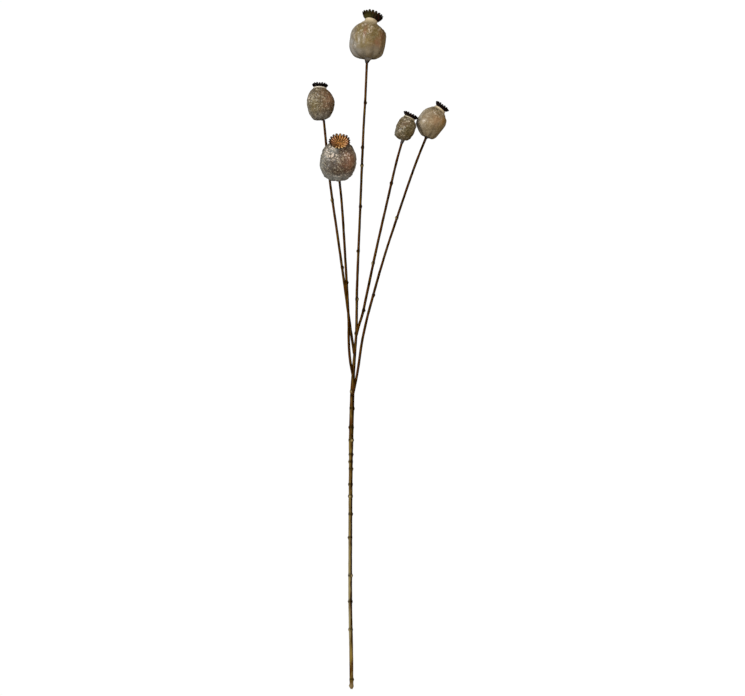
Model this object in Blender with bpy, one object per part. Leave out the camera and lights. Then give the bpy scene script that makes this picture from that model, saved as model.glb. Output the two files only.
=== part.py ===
"""A cut poppy stem with five ripe seed heads, laid on its side.

One main stem forks four times into five long branches, and each branch ends in a ribbed pod
that wears a toothed crown. The stem runs along +Y from its cut end, the surface that it lies on
is z = 0, and the origin is the middle of the footprint. Places and sizes are in millimetres,
and the finished meshes are in metres.
"""

import math
from typing import NamedTuple

import bmesh
import bpy
from mathutils import Vector

MM = 0.001
GAP = 0.3

# Stem: radius at the cut end, in the thick stretch below the forks, and along the branches
CUT_RADIUS = 2.15
THICK_RADIUS = 2.55
THICK_FROM = 270.0
THICK_TO = 306.0
BRANCH_RADIUS = 1.5
TIP_RADIUS = 1.35
TIP_LENGTH = 240.0
BRANCH_FROM = 395.0
THICK_BLEND = 14.0
STEM_SIDES = 8
STEM_STEP = 13.0
STEM_CLOSEST_RINGS = 0.9

# Stem: each leaf scar is a ring that swells most on one side
SCAR_HEIGHT = 0.85
SCAR_HALF_LENGTH = 2.6
SCAR_EVEN_SHARE = 0.62
SCAR_TURN = math.radians(137.5)

# Pods: soft ribs, one for every second tooth of the crown
SIDES_PER_RIB = 4
RIB_DEPTH = 0.035
FOOT_LOBE_DEPTH = 0.11
FOOT_LOBE_END = 0.22
BELLY_HEIGHT = 0.45
NECK_RADIUS = 1.75
NECK_FLARE = 0.52
RECESS_RADIUS = 0.66
RECESS_DEPTH = 0.16
POD_HEIGHTS = (0.0, 0.035, 0.09, 0.17, 0.28, 0.40, 0.53, 0.66, 0.78, 0.88, 0.95, 1.0)
COLLAR_LIP = 0.45
COLLAR_HEIGHT = 1.3

# Crowns: share of the radius or of the height unless a line says otherwise
SIDES_PER_TOOTH = 4
CROWN_THICKNESS = 1.15
CROWN_SEAT = 0.46
CROWN_BEND = 0.66
CROWN_BEND_RISE = 0.34
CROWN_SHOULDER = 0.84
CROWN_SHOULDER_RISE = 0.60
CROWN_BOSS = 0.14
CROWN_BOSS_RISE_MM = 1.9
TOOTH_INSET = 0.17
TOOTH_DROP = 0.42
PLEAT_MM = 0.42


class Head(NamedTuple):
    """One seed head.

    A lean is (degrees from +Y towards +X, degrees up from the surface), and the bow is how far
    the middle of the pod stands off the straight line from foot to collar, towards +X.
    """

    joint: tuple
    foot: tuple
    collar: tuple
    foot_lean: tuple
    belly_lean: tuple
    crown_lean: tuple
    bow: float
    width: float
    outline: tuple
    crown_width: float
    crown_height: float
    teeth: int
    rests: bool


# Stem routes, chosen by eye along each strand; the top branch is the main stem carried on
ROUTES = {
    "main": (
        (-29.0, -376.5, 2.55), (-29.4, -335.0, 3.1), (-30.4, -278.0, 4.15), (-30.3, -198.0, 5.8),
        (-29.6, -112.0, 7.4), (-28.6, -64.0, 8.4), (-27.0, -27.0, 9.5), (-25.3, -4.0, 10.2),
        (-23.7, 19.0, 11.0), (-23.2, 46.0, 11.8), (-22.7, 74.0, 12.8), (-19.6, 148.0, 15.8),
        (-16.0, 235.0, 19.6), (-13.7, 276.0, 21.2), (-12.0, 314.2, 22.3),
    ),
    "left": (
        (-26.1, -5.0, 10.2), (-28.4, 11.0, 10.6), (-30.9, 28.0, 10.8), (-36.6, 70.0, 11.4),
        (-43.6, 120.0, 12.5), (-52.4, 182.0, 13.8), (-56.1, 218.0, 14.5), (-59.4, 251.9, 14.9),
    ),
    "front": (
        (-27.4, -30.0, 9.4), (-29.9, -16.5, 11.4), (-31.4, -3.0, 13.5), (-32.0, 14.0, 15.4),
        (-32.2, 34.0, 16.4), (-34.4, 76.0, 17.0), (-37.7, 133.0, 18.2), (-39.6, 160.0, 19.9),
        (-41.9, 184.2, 23.4),
    ),
    "small": (
        (-23.7, 15.0, 10.8), (-20.8, 26.0, 12.2), (-16.9, 38.5, 14.0), (-12.6, 58.0, 15.7),
        (-1.1, 112.0, 19.2), (11.5, 167.0, 22.8), (19.9, 203.0, 25.4), (26.1, 225.6, 26.6),
    ),
    "right": (
        (-27.4, -50.0, 8.8), (-23.3, -30.5, 9.6), (-20.6, -14.0, 10.3), (-18.2, 3.4, 11.0),
        (-14.3, 23.0, 11.7), (-8.6, 46.4, 12.4), (7.1, 101.5, 13.6), (28.0, 165.0, 14.7),
        (42.6, 206.5, 15.4), (52.9, 232.3, 15.7),
    ),
}

# Leaf scars, in millimetres along each route
SCARS = {
    "main": (10.5, 66, 97, 126, 168, 194, 214, 227, 244, 252, 260, 276, 290, 311, 330, 394,
             432, 485, 534, 579, 599, 648),
    "left": (96, 171),
    "front": (104,),
    "small": (29, 82, 172),
    "right": (112, 201),
}

# Each pod's outline is (share of the half width, share of the height) from foot to collar
HEADS = {
    "top": Head(
        joint=(-12.0, 314.2, 22.3), foot=(-10.9, 319.0, 22.2), collar=(-7.6, 360.0, 18.7),
        foot_lean=(2, 0), belly_lean=(-8, -2), crown_lean=(15, -20), bow=-1.9, width=40.1,
        outline=((0.41, 0.0), (0.70, 0.07), (0.92, 0.22), (1.0, 0.42), (0.97, 0.62),
                 (0.88, 0.74), (0.69, 0.84), (0.48, 0.90), (0.39, 0.95), (0.34, 1.0)),
        crown_width=24.0, crown_height=7.0, teeth=18, rests=False,
    ),
    "left": Head(
        joint=(-59.4, 251.9, 14.9), foot=(-62.4, 252.6, 14.8), collar=(-63.9, 285.9, 14.4),
        foot_lean=(-7, 0), belly_lean=(-3, 0), crown_lean=(3, -14), bow=0.3, width=29.9,
        outline=((0.31, 0.0), (0.59, 0.06), (0.87, 0.24), (0.98, 0.44), (1.0, 0.62),
                 (0.87, 0.80), (0.69, 0.93), (0.49, 1.0)),
        crown_width=18.0, crown_height=4.0, teeth=18, rests=True,
    ),
    "front": Head(
        joint=(-41.9, 184.2, 23.4), foot=(-43.8, 187.0, 25.2), collar=(-41.6, 221.8, 45.4),
        foot_lean=(0, 27), belly_lean=(-2, 31), crown_lean=(1, 50), bow=-0.8, width=39.0,
        outline=((0.36, 0.0), (0.65, 0.07), (0.89, 0.23), (1.0, 0.45), (0.98, 0.63),
                 (0.88, 0.79), (0.65, 0.92), (0.39, 1.0)),
        crown_width=23.8, crown_height=4.8, teeth=18, rests=False,
    ),
    "small": Head(
        joint=(26.1, 225.6, 26.6), foot=(27.7, 229.3, 26.8), collar=(34.1, 252.1, 26.6),
        foot_lean=(10, 2), belly_lean=(-12, 1), crown_lean=(26, -6), bow=-0.6, width=23.0,
        outline=((0.38, 0.0), (0.65, 0.10), (0.91, 0.27), (1.0, 0.45), (0.94, 0.65),
                 (0.82, 0.82), (0.72, 0.93), (0.57, 1.0)),
        crown_width=18.2, crown_height=3.8, teeth=18, rests=False,
    ),
    "right": Head(
        joint=(52.9, 232.3, 15.7), foot=(54.2, 233.4, 15.6), collar=(67.8, 263.2, 15.3),
        foot_lean=(21, 0), belly_lean=(9, 0), crown_lean=(37, -7), bow=-2.5, width=32.0,
        outline=((0.38, 0.0), (0.57, 0.08), (0.79, 0.22), (1.0, 0.44), (0.95, 0.61),
                 (0.83, 0.79), (0.61, 0.92), (0.42, 1.0)),
        crown_width=18.0, crown_height=4.3, teeth=18, rests=True,
    ),
}


def smooth_path(points, step):
    """Points about one step apart on a Catmull-Rom curve through a route's own points."""
    points = [Vector(point) for point in points]
    points = [2 * points[0] - points[1], *points, 2 * points[-1] - points[-2]]
    path = []
    for before, start, end, after in zip(points, points[1:], points[2:], points[3:]):
        pieces = max(1, round((end - start).length / step))
        for piece in range(pieces):
            t = piece / pieces
            path.append(0.5 * (2 * start + (end - before) * t
                               + (2 * before - 5 * start + 4 * end - after) * t ** 2
                               + (3 * start - before - 3 * end + after) * t ** 3))
    return [*path, points[-2]]


def along(path, distance):
    """The point and the direction of a path at a distance from its start."""
    for start, end in zip(path, path[1:]):
        length = (end - start).length
        if distance <= length or end is path[-1]:
            return start + (end - start) * (distance / length), (end - start).normalized()
        distance -= length


def path_length(path):
    return sum((end - start).length for start, end in zip(path, path[1:]))


def direction(lean):
    """The direction of a lean."""
    right, up = (math.radians(angle) for angle in lean)
    return Vector((math.sin(right) * math.cos(up), math.cos(right) * math.cos(up), math.sin(up)))


def ring(centre, axis, radii, lift=None):
    """A closed ring of points round an axis, one for each radius, lifted along the axis."""
    side = axis.cross(Vector((0, 0, 1))).normalized()
    up = side.cross(axis)
    lift = lift or [0.0] * len(radii)
    points = []
    for place, radius in enumerate(radii):
        angle = math.tau * (place + 0.5) / len(radii)
        points.append(centre + radius * (math.cos(angle) * side + math.sin(angle) * up)
                      + lift[place] * axis)
    return points


def skin(name, rings):
    """One closed solid through a row of equal rings, with a fan of faces over each end."""
    work = bmesh.new()
    rows = [[work.verts.new(point * MM) for point in row] for row in rings]
    count = len(rows[0])
    for low, high in zip(rows, rows[1:]):
        for here in range(count):
            after = (here + 1) % count
            work.faces.new((low[here], low[after], high[after], high[here]))
    for row in (rows[0], rows[-1]):
        middle = work.verts.new(sum((vert.co for vert in row), Vector()) / count)
        for here in range(count):
            work.faces.new((row[here], row[(here + 1) % count], middle))
    bmesh.ops.recalc_face_normals(work, faces=work.faces)
    mesh = bpy.data.meshes.new(name)
    work.to_mesh(mesh)
    work.free()
    piece = bpy.data.objects.new(name, mesh)
    bpy.context.scene.collection.objects.link(piece)
    return piece


def material(name, colour, roughness):
    finish = bpy.data.materials.new(name)
    finish.use_nodes = True
    shader = finish.node_tree.nodes["Principled BSDF"]
    shader.inputs["Base Color"].default_value = (*colour, 1.0)
    shader.inputs["Roughness"].default_value = roughness
    shader.inputs["Metallic"].default_value = 0.0
    return finish


def dress(piece, finish, sharp_degrees):
    piece.data.materials.append(finish)
    piece.data.shade_smooth()
    piece.data.set_sharp_from_angle(angle=math.radians(sharp_degrees))


def ease(value, start, end):
    """0 before start, 1 after end and a smooth slope between them."""
    t = min(1.0, max(0.0, (value - start) / (end - start)))
    return t * t * (3 - 2 * t)


def stem_radius(name, distance):
    """Radius of a strand between its leaf scars."""
    start = BRANCH_FROM if name == "main" else 0.0
    branch = BRANCH_RADIUS + (TIP_RADIUS - BRANCH_RADIUS) * ease(distance, start, start + TIP_LENGTH)
    if name != "main":
        return branch
    thick = ease(distance, THICK_FROM - THICK_BLEND, THICK_FROM)
    below = CUT_RADIUS + (THICK_RADIUS - CUT_RADIUS) * thick
    return below + (branch - below) * ease(distance, THICK_TO, BRANCH_FROM)


def scar_radii(name, distance):
    """Radii round one ring of a strand, with the scars that it runs through."""
    radii = [stem_radius(name, distance)] * STEM_SIDES
    for number, scar in enumerate(SCARS[name]):
        reach = (distance - scar) / SCAR_HALF_LENGTH
        if abs(reach) >= 1:
            continue
        swell = SCAR_HEIGHT * (1 - reach ** 2) ** 2
        for place in range(STEM_SIDES):
            turn = math.tau * (place + 0.5) / STEM_SIDES - number * SCAR_TURN
            radii[place] += swell * (SCAR_EVEN_SHARE + (1 - SCAR_EVEN_SHARE) * math.cos(turn))
    return radii


def ring_places(name, length):
    """Where a strand has a ring: in even steps, and at the edges and the rise of each scar."""
    steps = math.ceil(length / STEM_STEP)
    wanted = []
    for scar in SCARS[name]:
        wanted += [scar + share * SCAR_HALF_LENGTH for share in (-1.0, -0.4, 0.4, 1.0)]
    for step in range(steps + 1):
        place = length * step / steps
        if step in (0, steps) or min(abs(place - scar) for scar in SCARS[name]) > STEM_STEP / 2:
            wanted.append(place)
    kept = []
    for place in sorted(wanted):
        if not kept or place - kept[-1] > STEM_CLOSEST_RINGS:
            kept.append(place)
    return kept


def strand(name, length):
    """One strand of the stem as a closed tube."""
    path = smooth_path(ROUTES[name], 2.0)
    rings = []
    for distance in ring_places(name, length):
        centre, axis = along(path, distance)
        rings.append(ring(centre, axis, scar_radii(name, distance)))
    return skin(f"strand_{name}", rings)


def build_stem(finish):
    """The main stem and its branches, joined into one body."""
    branches = bpy.data.collections.new("branches")
    bpy.context.scene.collection.children.link(branches)
    for name, route in ROUTES.items():
        tube = strand(name, path_length(smooth_path(route, 2.0)) - GAP / 2)
        if name == "main":
            stem = tube
        else:
            branches.objects.link(tube)
            bpy.context.scene.collection.objects.unlink(tube)
    union = stem.modifiers.new("join the branches", "BOOLEAN")
    union.operation = "UNION"
    union.operand_type = "COLLECTION"
    union.collection = branches
    union.solver = "EXACT"
    graph = bpy.context.evaluated_depsgraph_get()
    joined = bpy.data.meshes.new_from_object(stem.evaluated_get(graph))
    stem.modifiers.clear()
    stem.data = joined
    stem.name = "stem"
    for tube in list(branches.objects):
        bpy.data.objects.remove(tube)
    bpy.data.collections.remove(branches)
    dress(stem, finish, 60)
    return stem


def outline_radius(outline, height):
    """Share of the half width at a share of the height, smoothly through the outline."""
    flat = [(share, rise, 0.0) for share, rise in outline]
    curve = smooth_path(flat, 0.02)
    for start, end in zip(curve, curve[1:]):
        if height <= end.y:
            part = (height - start.y) / (end.y - start.y)
            return start.x + (end.x - start.x) * part
    return curve[-1].x


def bent_axis(head, height):
    """Centre and direction of a pod's cross-section at a share of its height."""
    foot, collar = Vector(head.foot), Vector(head.collar)
    aside = (collar - foot).cross(Vector((0, 0, 1))).normalized()
    centre = foot.lerp(collar, height) + aside * head.bow * 4 * height * (1 - height)
    if height < BELLY_HEIGHT:
        start, end, part = head.foot_lean, head.belly_lean, height / BELLY_HEIGHT
    else:
        start, end = head.belly_lean, head.crown_lean
        part = (height - BELLY_HEIGHT) / (1 - BELLY_HEIGHT)
    return centre, direction(start).lerp(direction(end), part).normalized()


def build_pod(name, head, finish):
    """A ribbed pod: neck, recessed foot, sides, shoulders and the collar under the crown."""
    half = head.width / 2
    ribs = head.teeth // 2
    sides = ribs * SIDES_PER_RIB
    wave = [math.cos(math.tau * place / SIDES_PER_RIB) for place in range(sides)]
    stem_path = smooth_path(ROUTES["main" if name == "top" else name], 2.0)
    neck_axis = (stem_path[-1] - stem_path[-2]).normalized()
    foot, foot_axis = bent_axis(head, 0.0)
    foot_radius = half * head.outline[0][0]
    neck = Vector(head.joint) + neck_axis * GAP / 2
    rings = [
        ring(neck, neck_axis, [NECK_RADIUS] * sides),
        ring(neck.lerp(foot, 0.5), (neck_axis + foot_axis).normalized(),
             [(NECK_RADIUS + foot_radius * NECK_FLARE) / 2.15] * sides),
        ring(foot, foot_axis, [foot_radius * NECK_FLARE] * sides),
        ring(foot + foot_axis * foot_radius * RECESS_DEPTH, foot_axis,
             [foot_radius * RECESS_RADIUS] * sides),
    ]
    for height in POD_HEIGHTS:
        centre, axis = bent_axis(head, height)
        radius = half * outline_radius(head.outline, height)
        lobes = FOOT_LOBE_DEPTH * (1 - ease(height, 0.0, FOOT_LOBE_END)) * ease(height, -0.02, 0.04)
        depth = lobes + RIB_DEPTH * (1 - ease(height, 0.8, 1.0))
        rings.append(ring(centre, axis, [radius * (1 + depth * rise) for rise in wave]))
    collar, crown_axis = bent_axis(head, 1.0)
    collar_radius = half * head.outline[-1][0]
    lip = collar_radius + COLLAR_LIP
    for rise in (COLLAR_HEIGHT / 2, COLLAR_HEIGHT):
        rings.append(ring(collar + crown_axis * rise, crown_axis, [lip] * sides))
    pod = skin(f"capsule_{name}", rings)
    if head.rests:
        cut_flat(pod)
    dress(pod, finish, 50)
    return collar + crown_axis * (COLLAR_HEIGHT + GAP), crown_axis


def cut_flat(pod):
    """The small flat that a pod rests on, where it would dip below the surface."""
    work = bmesh.new()
    work.from_mesh(pod.data)
    everything = [*work.verts, *work.edges, *work.faces]
    bmesh.ops.bisect_plane(work, geom=everything, plane_co=(0, 0, 0), plane_no=(0, 0, -1),
                           clear_outer=True)
    rim = [edge for edge in work.edges if edge.is_boundary]
    bmesh.ops.holes_fill(work, edges=rim)
    bmesh.ops.recalc_face_normals(work, faces=work.faces)
    work.to_mesh(pod.data)
    work.free()


def build_crown(name, head, seat, axis, finish):
    """A toothed crown: a shallow pleated cup with one ray and one tooth for each chamber."""
    radius = head.crown_width / 2
    tall = head.crown_height
    sides = head.teeth * SIDES_PER_TOOTH
    peak = [0.5 - 0.5 * math.cos(math.tau * (place + 0.5) / SIDES_PER_TOOTH)
            for place in range(sides)]
    pleat = [PLEAT_MM * (2 * share - 1) for share in peak]
    bend = tall * CROWN_BEND_RISE
    shoulder = tall * CROWN_SHOULDER_RISE
    boss = [radius * CROWN_BOSS] * sides
    rings = [
        ring(seat, axis, boss),
        ring(seat, axis, [radius * CROWN_SEAT] * sides),
        ring(seat, axis, [radius * CROWN_BEND] * sides, [bend + rise for rise in pleat]),
        ring(seat, axis, [radius * CROWN_SHOULDER] * sides, [shoulder + rise for rise in pleat]),
        ring(seat, axis, [radius * (1 - TOOTH_INSET * (1 - share)) for share in peak],
             [tall * (1 - TOOTH_DROP * (1 - share)) for share in peak]),
        ring(seat, axis, [radius * CROWN_SHOULDER * 0.97] * sides,
             [shoulder + CROWN_THICKNESS + rise for rise in pleat]),
        ring(seat, axis, [radius * CROWN_BEND * 0.93] * sides,
             [bend + CROWN_THICKNESS + rise for rise in pleat]),
        ring(seat, axis, [radius * CROWN_SEAT * 0.8] * sides,
             [CROWN_THICKNESS + rise / 2 for rise in pleat]),
        ring(seat, axis, boss, [CROWN_BOSS_RISE_MM] * sides),
    ]
    dress(skin(f"crown_{name}", rings), finish, 70)


def main():
    for old in list(bpy.data.objects):
        bpy.data.objects.remove(old)
    bark = material("dry stem", (0.14, 0.085, 0.035), 0.62)
    husk = material("dry husk", (0.27, 0.235, 0.17), 0.5)
    stigma = material("dry crown", (0.045, 0.02, 0.015), 0.55)
    build_stem(bark)
    for name, head in HEADS.items():
        seat, axis = build_pod(name, head, husk)
        build_crown(name, head, seat, axis, stigma)


main()
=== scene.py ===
# %% [markdown]
# # A dried poppy spray
# One cut poppy stem forks into five long branches, and each ends in a ripe pod with a toothed crown.
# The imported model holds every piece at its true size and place. This lesson gives each one a finer
# skin with the same form: ribs, wrinkles and leaf scars that catch the light, and matte plant colours.
# The mesh code works in millimetres, because plant parts are easiest to think about in them.

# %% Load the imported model
import math

import bpy
import numpy as np
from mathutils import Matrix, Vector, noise


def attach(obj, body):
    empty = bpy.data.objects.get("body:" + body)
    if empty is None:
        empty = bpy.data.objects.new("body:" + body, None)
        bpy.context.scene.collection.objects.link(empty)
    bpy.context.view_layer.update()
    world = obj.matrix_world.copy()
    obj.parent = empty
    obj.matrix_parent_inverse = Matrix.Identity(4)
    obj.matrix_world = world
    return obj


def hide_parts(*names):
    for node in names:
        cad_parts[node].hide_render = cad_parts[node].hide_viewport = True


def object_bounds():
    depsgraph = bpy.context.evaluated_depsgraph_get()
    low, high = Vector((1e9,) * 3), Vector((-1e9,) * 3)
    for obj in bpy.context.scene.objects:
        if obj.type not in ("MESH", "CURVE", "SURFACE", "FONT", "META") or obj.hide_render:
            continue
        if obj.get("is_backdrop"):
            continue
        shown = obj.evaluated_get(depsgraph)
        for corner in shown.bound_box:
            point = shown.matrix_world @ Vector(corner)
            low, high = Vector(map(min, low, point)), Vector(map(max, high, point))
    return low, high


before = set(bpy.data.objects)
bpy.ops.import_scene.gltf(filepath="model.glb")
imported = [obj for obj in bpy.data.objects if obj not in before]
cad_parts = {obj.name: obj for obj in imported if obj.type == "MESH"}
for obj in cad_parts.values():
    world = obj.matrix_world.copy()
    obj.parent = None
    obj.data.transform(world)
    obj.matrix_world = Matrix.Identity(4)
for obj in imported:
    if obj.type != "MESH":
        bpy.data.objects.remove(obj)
MM = 0.001
cad_box = [list(corner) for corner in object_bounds()]
print("model box in mm", [[round(value / MM, 1) for value in corner] for corner in cad_box])

# %% [markdown]
# ## Colours
# Colours are given as sRGB hex codes, but shaders add up light, so they want linear numbers.
# One function turns the first into the second, and every material below goes through it.

# %% Hex colours to linear light
def linear(code):
    """The linear red, green, blue and alpha of an sRGB hex colour."""
    parts = [int(code[start:start + 2], 16) / 255 for start in (0, 2, 4)]
    parts = [part / 12.92 if part <= 0.04045 else ((part + 0.055) / 1.055) ** 2.4 for part in parts]
    return (*parts, 1.0)


print("a mid husk tone is", [round(part, 3) for part in linear("83714f")])

# %% [markdown]
# ## Camera
# The spray lies on a table and is seen from straight above, so the camera hangs over it and looks
# down. A long lens keeps the pods at the top of the picture as round as those in the middle. Its
# height follows from how many millimetres one picture element covers at the height of the spray.

# %% Hang the camera over the spray
PICTURE_WIDTH = 745
MM_PER_PIXEL = 1.1033
LENS = 100.0
SENSOR = 36.0
SPRAY_HEIGHT = 12.0
PICTURE_MIDDLE = (-5.8, 1.2)

camera_height = SPRAY_HEIGHT + MM_PER_PIXEL * PICTURE_WIDTH * LENS / SENSOR
camera = bpy.data.objects.new("camera", bpy.data.cameras.new("camera"))
camera.data.lens = LENS
camera.data.sensor_width = SENSOR
camera.location = (PICTURE_MIDDLE[0] * MM, PICTURE_MIDDLE[1] * MM, camera_height * MM)
bpy.context.scene.collection.objects.link(camera)
bpy.context.scene.camera = camera
print("camera height", round(camera_height), "mm")

# %% [markdown]
# ## Building materials node by node
# A procedural material is a small network of nodes. Writing it takes one helper that adds a node,
# sets its properties and fills each input with either a value or another node's output. Plant
# colours come in layers, such as skin, then dirt, then bloom. A second helper stacks such layers
# from a list, so each material below reads like a painter's recipe.

# %% Helpers that add nodes and stack colours
MIX_FACTOR, MIX_FIRST, MIX_SECOND, MIX_RESULT = 0, 6, 7, 2


def add(tree, kind, inputs, **settings):
    """Adds one node: its settings are properties, and its inputs are values or output sockets."""
    made = tree.nodes.new(kind)
    for name, value in settings.items():
        setattr(made, name, value)
    for key, value in inputs.items():
        if isinstance(value, bpy.types.NodeSocket):
            tree.links.new(value, made.inputs[key])
        else:
            made.inputs[key].default_value = value
    return made


def blank_material(name):
    """A new node material with nothing but its output."""
    made = bpy.data.materials.new(name)
    made.use_nodes = True
    made.node_tree.nodes.clear()
    return made, made.node_tree


def paint(tree, tones, sources, base, layers):
    """Lays colours over a base one by one; each shows where its source goes from start to end."""
    colour = tones[base]
    for tone, source, start, end, most in layers:
        amount = add(tree, "ShaderNodeMapRange", {"Value": sources[source], "From Min": start,
                                                  "From Max": end, "To Max": most})
        mixed = add(tree, "ShaderNodeMix", {MIX_FACTOR: amount.outputs["Result"], MIX_FIRST: colour,
                                            MIX_SECOND: tones[tone]}, data_type="RGBA")
        colour = mixed.outputs[MIX_RESULT]
    return colour


print("node helpers ready")

# %% [markdown]
# ## Light table and lamps
# The spray lies on a light table: a white sheet that glows, so no shadow shows on it. It is a plane
# that only emits, many metres wide to keep its edge out of low views. It is hidden from bounced
# rays, because its glow would lift the undersides, and those should stay dark. The key lamp to the
# upper left shapes the pods, and a weak warm fill lamp low on the right keeps the far edges from
# going black. The room is bright overhead and dark at the sides, which draws a dark rim round each
# pod, and black below the table.

# %% White light table and soft light
TABLE_SIZE, TABLE_GLOW = 60.0, 1.02
LAMPS = {
    "key": dict(place=(-1.75, 1.15, 1.6), size=0.75, watts=36.0, colour="ffffff"),
    "fill": dict(place=(1.9, 0.1, 0.3), size=0.8, watts=4.0, colour="ffd2a0"),
}
SKY_TOP, SKY_SIDE = 0.95, 0.16
SKY_DARK_BELOW, SKY_FULL_ABOVE = -0.2, 0.05

panel, tree = blank_material("light_table_glowing_acrylic")
glow = add(tree, "ShaderNodeEmission", {"Color": linear("ffffff"), "Strength": TABLE_GLOW})
add(tree, "ShaderNodeOutputMaterial", {"Surface": glow.outputs["Emission"]})
table = bpy.data.meshes.new("light_table")
half = TABLE_SIZE / 2
table.from_pydata([(-half, -half, 0), (half, -half, 0), (half, half, 0), (-half, half, 0)], [],
                  [(0, 1, 2, 3)])
table.materials.append(panel)
floor = bpy.data.objects.new("light_table", table)
floor.visible_diffuse = False
floor.visible_glossy = False
bpy.context.scene.collection.objects.link(floor)
floor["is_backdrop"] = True

for name, lamp in LAMPS.items():
    light = bpy.data.objects.new(name, bpy.data.lights.new(name, "AREA"))
    light.data.shape = "DISK"
    light.data.size = lamp["size"]
    light.data.energy = lamp["watts"]
    light.data.color = linear(lamp["colour"])[:3]
    light.location = lamp["place"]
    light.rotation_euler = (-light.location).to_track_quat("-Z", "Y").to_euler()
    bpy.context.scene.collection.objects.link(light)

world = bpy.data.worlds.new("soft_room")
world.use_nodes = True
tree = world.node_tree
tree.nodes.clear()
way = add(tree, "ShaderNodeTexCoord", {}).outputs["Generated"]
up = add(tree, "ShaderNodeSeparateXYZ", {"Vector": way}).outputs["Z"]
room = add(tree, "ShaderNodeMapRange", {"Value": up, "To Min": SKY_SIDE, "To Max": SKY_TOP})
above = add(tree, "ShaderNodeMapRange", {"Value": up, "From Min": SKY_DARK_BELOW,
                                         "From Max": SKY_FULL_ABOVE})
level = add(tree, "ShaderNodeMath", {0: room.outputs["Result"], 1: above.outputs["Result"]},
            operation="MULTIPLY")
sky = add(tree, "ShaderNodeBackground", {"Color": linear("fffefb"), "Strength": level.outputs["Value"]})
add(tree, "ShaderNodeOutputWorld", {"Surface": sky.outputs["Background"]})
bpy.context.scene.world = world
bpy.context.scene.view_settings.view_transform = "Standard"
print("lamps in W", {name: lamp["watts"] for name, lamp in LAMPS.items()})

# %% [markdown]
# ## Noise and rows of points
# Every skin in this lesson is a sheet of points in rows: a row goes round the piece, and the rows
# follow one another along it. NumPy moves a whole sheet at once. Noise for wrinkles and grain is read
# at each point's own place in space, so it has no seam where a row closes on itself.

# %% Helpers for sheets of points
def unit(vectors):
    """Vectors cut to length one."""
    return vectors / np.linalg.norm(vectors, axis=-1, keepdims=True)


def ease(value, start, end):
    """0 before start, 1 after end and a smooth slope between them."""
    part = np.clip((value - start) / (end - start), 0.0, 1.0)
    return part * part * (3 - 2 * part)


def bell(value, middle, width):
    """1 where a value is at the middle, falling off on both sides over about one width."""
    return np.exp(-((value - middle) / width) ** 2)


def rough(points, size, seed):
    """Noise from about -1 to 1 at each point, with features about one size across."""
    flat = points.reshape(-1, 3) / size + (seed * 7.31, seed * 3.17, -seed * 5.83)
    values = np.array([noise.noise(point) for point in flat.tolist()])
    return values.reshape(points.shape[:-1])


def rows_round(centre, axis, angle, radius):
    """Rows of points round a line of centres; a radius is given for each row and angle."""
    side = unit(np.cross(axis, (0.0, 0.0, 1.0)))
    up = np.cross(side, axis)
    spoke = (np.cos(angle)[None, :, None] * side[:, None, :]
             + np.sin(angle)[None, :, None] * up[:, None, :])
    return centre[:, None, :] + radius[:, :, None] * spoke


def smooth_rows(rows, spacing):
    """More rows between the given ones, on Catmull-Rom curves through them."""
    rows = np.concatenate([2 * rows[:1] - rows[1:2], rows, 2 * rows[-1:] - rows[-2:-1]])
    made = []
    for before, start, end, after in zip(rows, rows[1:], rows[2:], rows[3:]):
        gap = np.linalg.norm((end - start)[..., :3], axis=-1).mean()
        pieces = max(1, round(gap / spacing))
        part = (np.arange(pieces) / pieces).reshape(-1, *[1] * (rows.ndim - 1))
        made.append(0.5 * (2 * start + (end - before) * part
                           + (2 * before - 5 * start + 4 * end - after) * part ** 2
                           + (3 * start - before - 3 * end + after) * part ** 3))
    return np.concatenate([*made, rows[-2:-1]])


def outward(rows):
    """The direction that each point of a sheet faces, from its neighbours."""
    along = np.gradient(rows, axis=0)
    around = np.roll(rows, -1, axis=1) - np.roll(rows, 1, axis=1)
    return unit(np.cross(along, around) + 1e-12)


def write_mark(mesh, name, values):
    """Stores one number for each point of a mesh, where a material can read it by name."""
    mesh.attributes.new(name, "FLOAT", "POINT").data.foreach_set("value", values.astype(np.float32))


def closed_piece(name, rows, marks):
    """A closed smooth mesh through a sheet, with a fan over each end, and named marks on its points."""
    count, around = rows.shape[:2]
    points = np.vstack([rows.reshape(-1, 3), rows[0].mean(axis=0), rows[-1].mean(axis=0)])
    here = np.arange(around)
    after = (here + 1) % around
    base = (np.arange(count - 1) * around)[:, None]
    quads = np.stack([base + here, base + around + here, base + around + after, base + after], axis=2)
    last = (count - 1) * around
    start_fan = np.stack([np.full(around, count * around), here, after], axis=1)
    end_fan = np.stack([np.full(around, count * around + 1), last + after, last + here], axis=1)
    mesh = bpy.data.meshes.new(name)
    mesh.from_pydata((points * MM).tolist(), [],
                     quads.reshape(-1, 4).tolist() + start_fan.tolist() + end_fan.tolist())
    for mark, values in marks.items():
        write_mark(mesh, mark, np.concatenate([values.ravel(), [values[0].mean(), values[-1].mean()]]))
    mesh.shade_smooth()
    piece = bpy.data.objects.new(name, mesh)
    bpy.context.scene.collection.objects.link(piece)
    return piece


print("sheet helpers ready")
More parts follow.
